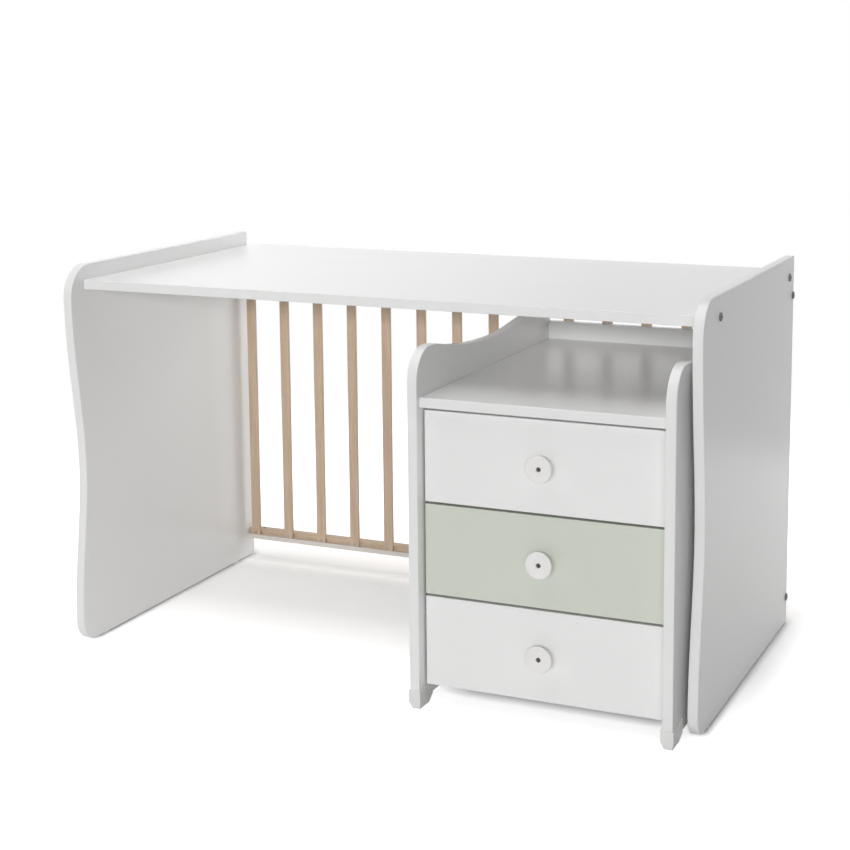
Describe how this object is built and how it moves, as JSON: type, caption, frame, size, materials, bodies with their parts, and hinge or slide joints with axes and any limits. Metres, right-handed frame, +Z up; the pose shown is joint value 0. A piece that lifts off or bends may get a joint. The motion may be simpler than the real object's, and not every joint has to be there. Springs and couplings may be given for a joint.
{
  "type": "convertible crib",
  "caption": "Convertible crib set up as a desk: wavy end panels, flat top, slatted rear side and a separate chest with sliding drawers under a raised-edge changing top.",
  "frame": {"origin": "on the floor, under the middle of the whole's length and depth", "axes": "+X along the desk towards the chest, +Y from the front to the slatted rear side, +Z up"},
  "size_m": [1.242, 0.7182, 0.736],
  "materials": {
    "white_board": "white laminated board, satin",
    "green_board": "pale green laminated board, satin",
    "beech": "clear-lacquered beech",
    "pale_strip": "pale laminated strip",
    "fibreboard": "thin white-faced fibreboard",
    "white_plastic": "moulded, satin",
    "knob_plastic": "moulded, satin",
    "steel": "zinc-plated, dull grey"
  },
  "bodies": {
    "desk": {"barrel_nuts": "steel", "desk_top": "white_board", "frame_bolts": "steel", "left_end_panel": "white_board", "panel_glides": "white_plastic", "rail_bottom": "beech", "rail_sill": "pale_strip", "rail_top": "beech", "right_end_panel": "white_board", "slat_01": "beech", "slat_02": "beech", "slat_03": "beech", "slat_04": "beech", "slat_05": "beech", "slat_06": "beech", "slat_07": "beech", "slat_08": "beech", "slat_09": "beech", "slat_10": "beech", "slat_11": "beech", "slat_12": "beech", "slat_13": "beech", "slat_14": "beech", "slat_15": "beech", "slat_screws": "steel"},
    "chest": {"chest_back_panel": "fibreboard", "chest_back_rail": "white_board", "chest_feet": "white_plastic", "chest_left_side": "white_board", "chest_right_side": "white_board", "chest_runners": "beech", "chest_screws": "steel", "chest_stretcher": "white_board", "chest_top": "white_board"},
    "drawer_top": {"drawer_top_back": "white_board", "drawer_top_dowels": "beech", "drawer_top_floor": "fibreboard", "drawer_top_front": "white_board", "drawer_top_knob": "knob_plastic", "drawer_top_knob_screw": "steel", "drawer_top_left": "white_board", "drawer_top_right": "white_board"},
    "drawer_middle": {"drawer_middle_back": "white_board", "drawer_middle_dowels": "beech", "drawer_middle_floor": "fibreboard", "drawer_middle_front": "green_board", "drawer_middle_knob": "knob_plastic", "drawer_middle_knob_screw": "steel", "drawer_middle_left": "white_board", "drawer_middle_right": "white_board"},
    "drawer_bottom": {"drawer_bottom_back": "white_board", "drawer_bottom_dowels": "beech", "drawer_bottom_floor": "fibreboard", "drawer_bottom_front": "white_board", "drawer_bottom_knob": "knob_plastic", "drawer_bottom_knob_screw": "steel", "drawer_bottom_left": "white_board", "drawer_bottom_right": "white_board"}
  },
  "joints": [
    {"name": "chest_slide", "type": "slide", "parent": "desk", "child": "chest", "axis": [0, -1, 0], "range_m": [0, 0.65]},
    {"name": "drawer_top_slide", "type": "slide", "parent": "chest", "child": "drawer_top", "axis": [0, -1, 0], "range_m": [0, 0.36]},
    {"name": "drawer_middle_slide", "type": "slide", "parent": "chest", "child": "drawer_middle", "axis": [0, -1, 0], "range_m": [0, 0.36]},
    {"name": "drawer_bottom_slide", "type": "slide", "parent": "chest", "child": "drawer_bottom", "axis": [0, -1, 0], "range_m": [0, 0.36]}
  ]
}
